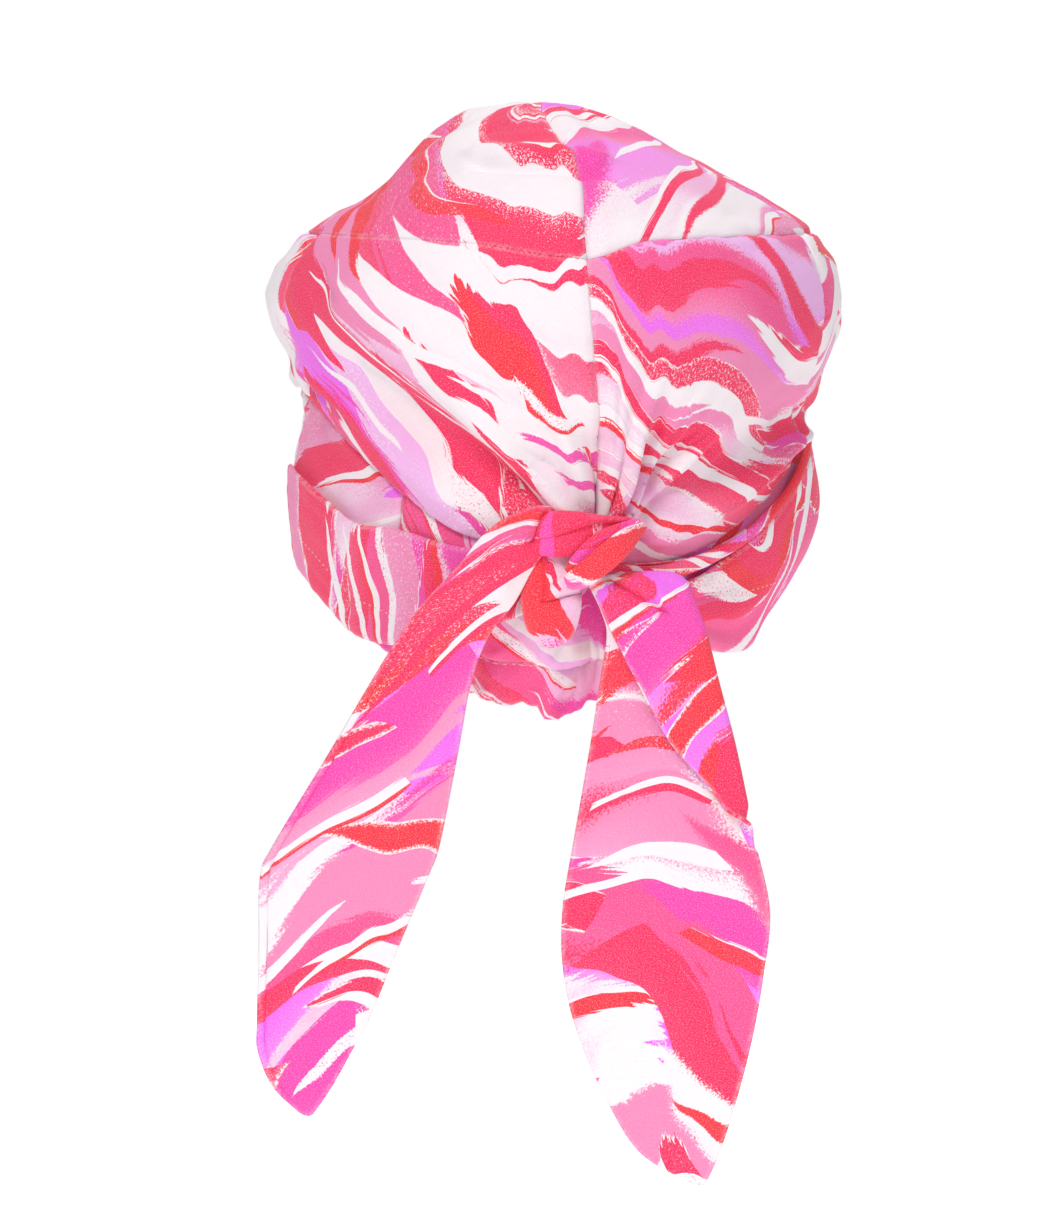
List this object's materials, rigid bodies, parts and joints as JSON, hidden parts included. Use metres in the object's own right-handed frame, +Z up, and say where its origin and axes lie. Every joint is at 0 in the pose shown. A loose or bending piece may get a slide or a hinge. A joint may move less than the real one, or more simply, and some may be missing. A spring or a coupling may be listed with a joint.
{
  "type": "turban",
  "caption": "Soft pre-tied turban: puffed crown of sewn panels, band over the ears, ties knotted low at the back with two hanging tails and a gathered nape.",
  "frame": {"origin": "middle of the head opening, level with the tops of the ears, where the wearer's head carries the turban", "axes": "+Z up; +Y the way the wearer faces, so the knot and the tails are at -Y; +X the wearer's right"},
  "size_m": [0.1821, 0.2203, 0.3326],
  "materials": {
    "crown_cotton": "plain-weave cotton, brush-stroke print in pinks, reds and orchid on white",
    "band_cotton": "plain-weave cotton, the same print, creased and gathered",
    "tie_cotton": "plain-weave cotton in two layers, the same print"
  },
  "bodies": {
    "root": {"crown_top_left": "crown_cotton", "crown_top_right": "crown_cotton", "crown_back_left": "crown_cotton", "crown_back_right": "crown_cotton", "crown_front": "crown_cotton", "side_left": "band_cotton", "side_right": "band_cotton", "brow_band": "band_cotton", "nape_panel": "band_cotton", "nape_casing": "band_cotton", "tie_left": "tie_cotton", "tie_right": "tie_cotton", "tie_roll_right": "tie_cotton", "knot_core": "tie_cotton", "knot_turn": "tie_cotton", "nape_puff": "tie_cotton", "tail_left": "tie_cotton", "tail_right": "tie_cotton"}
  },
  "joints": []
}
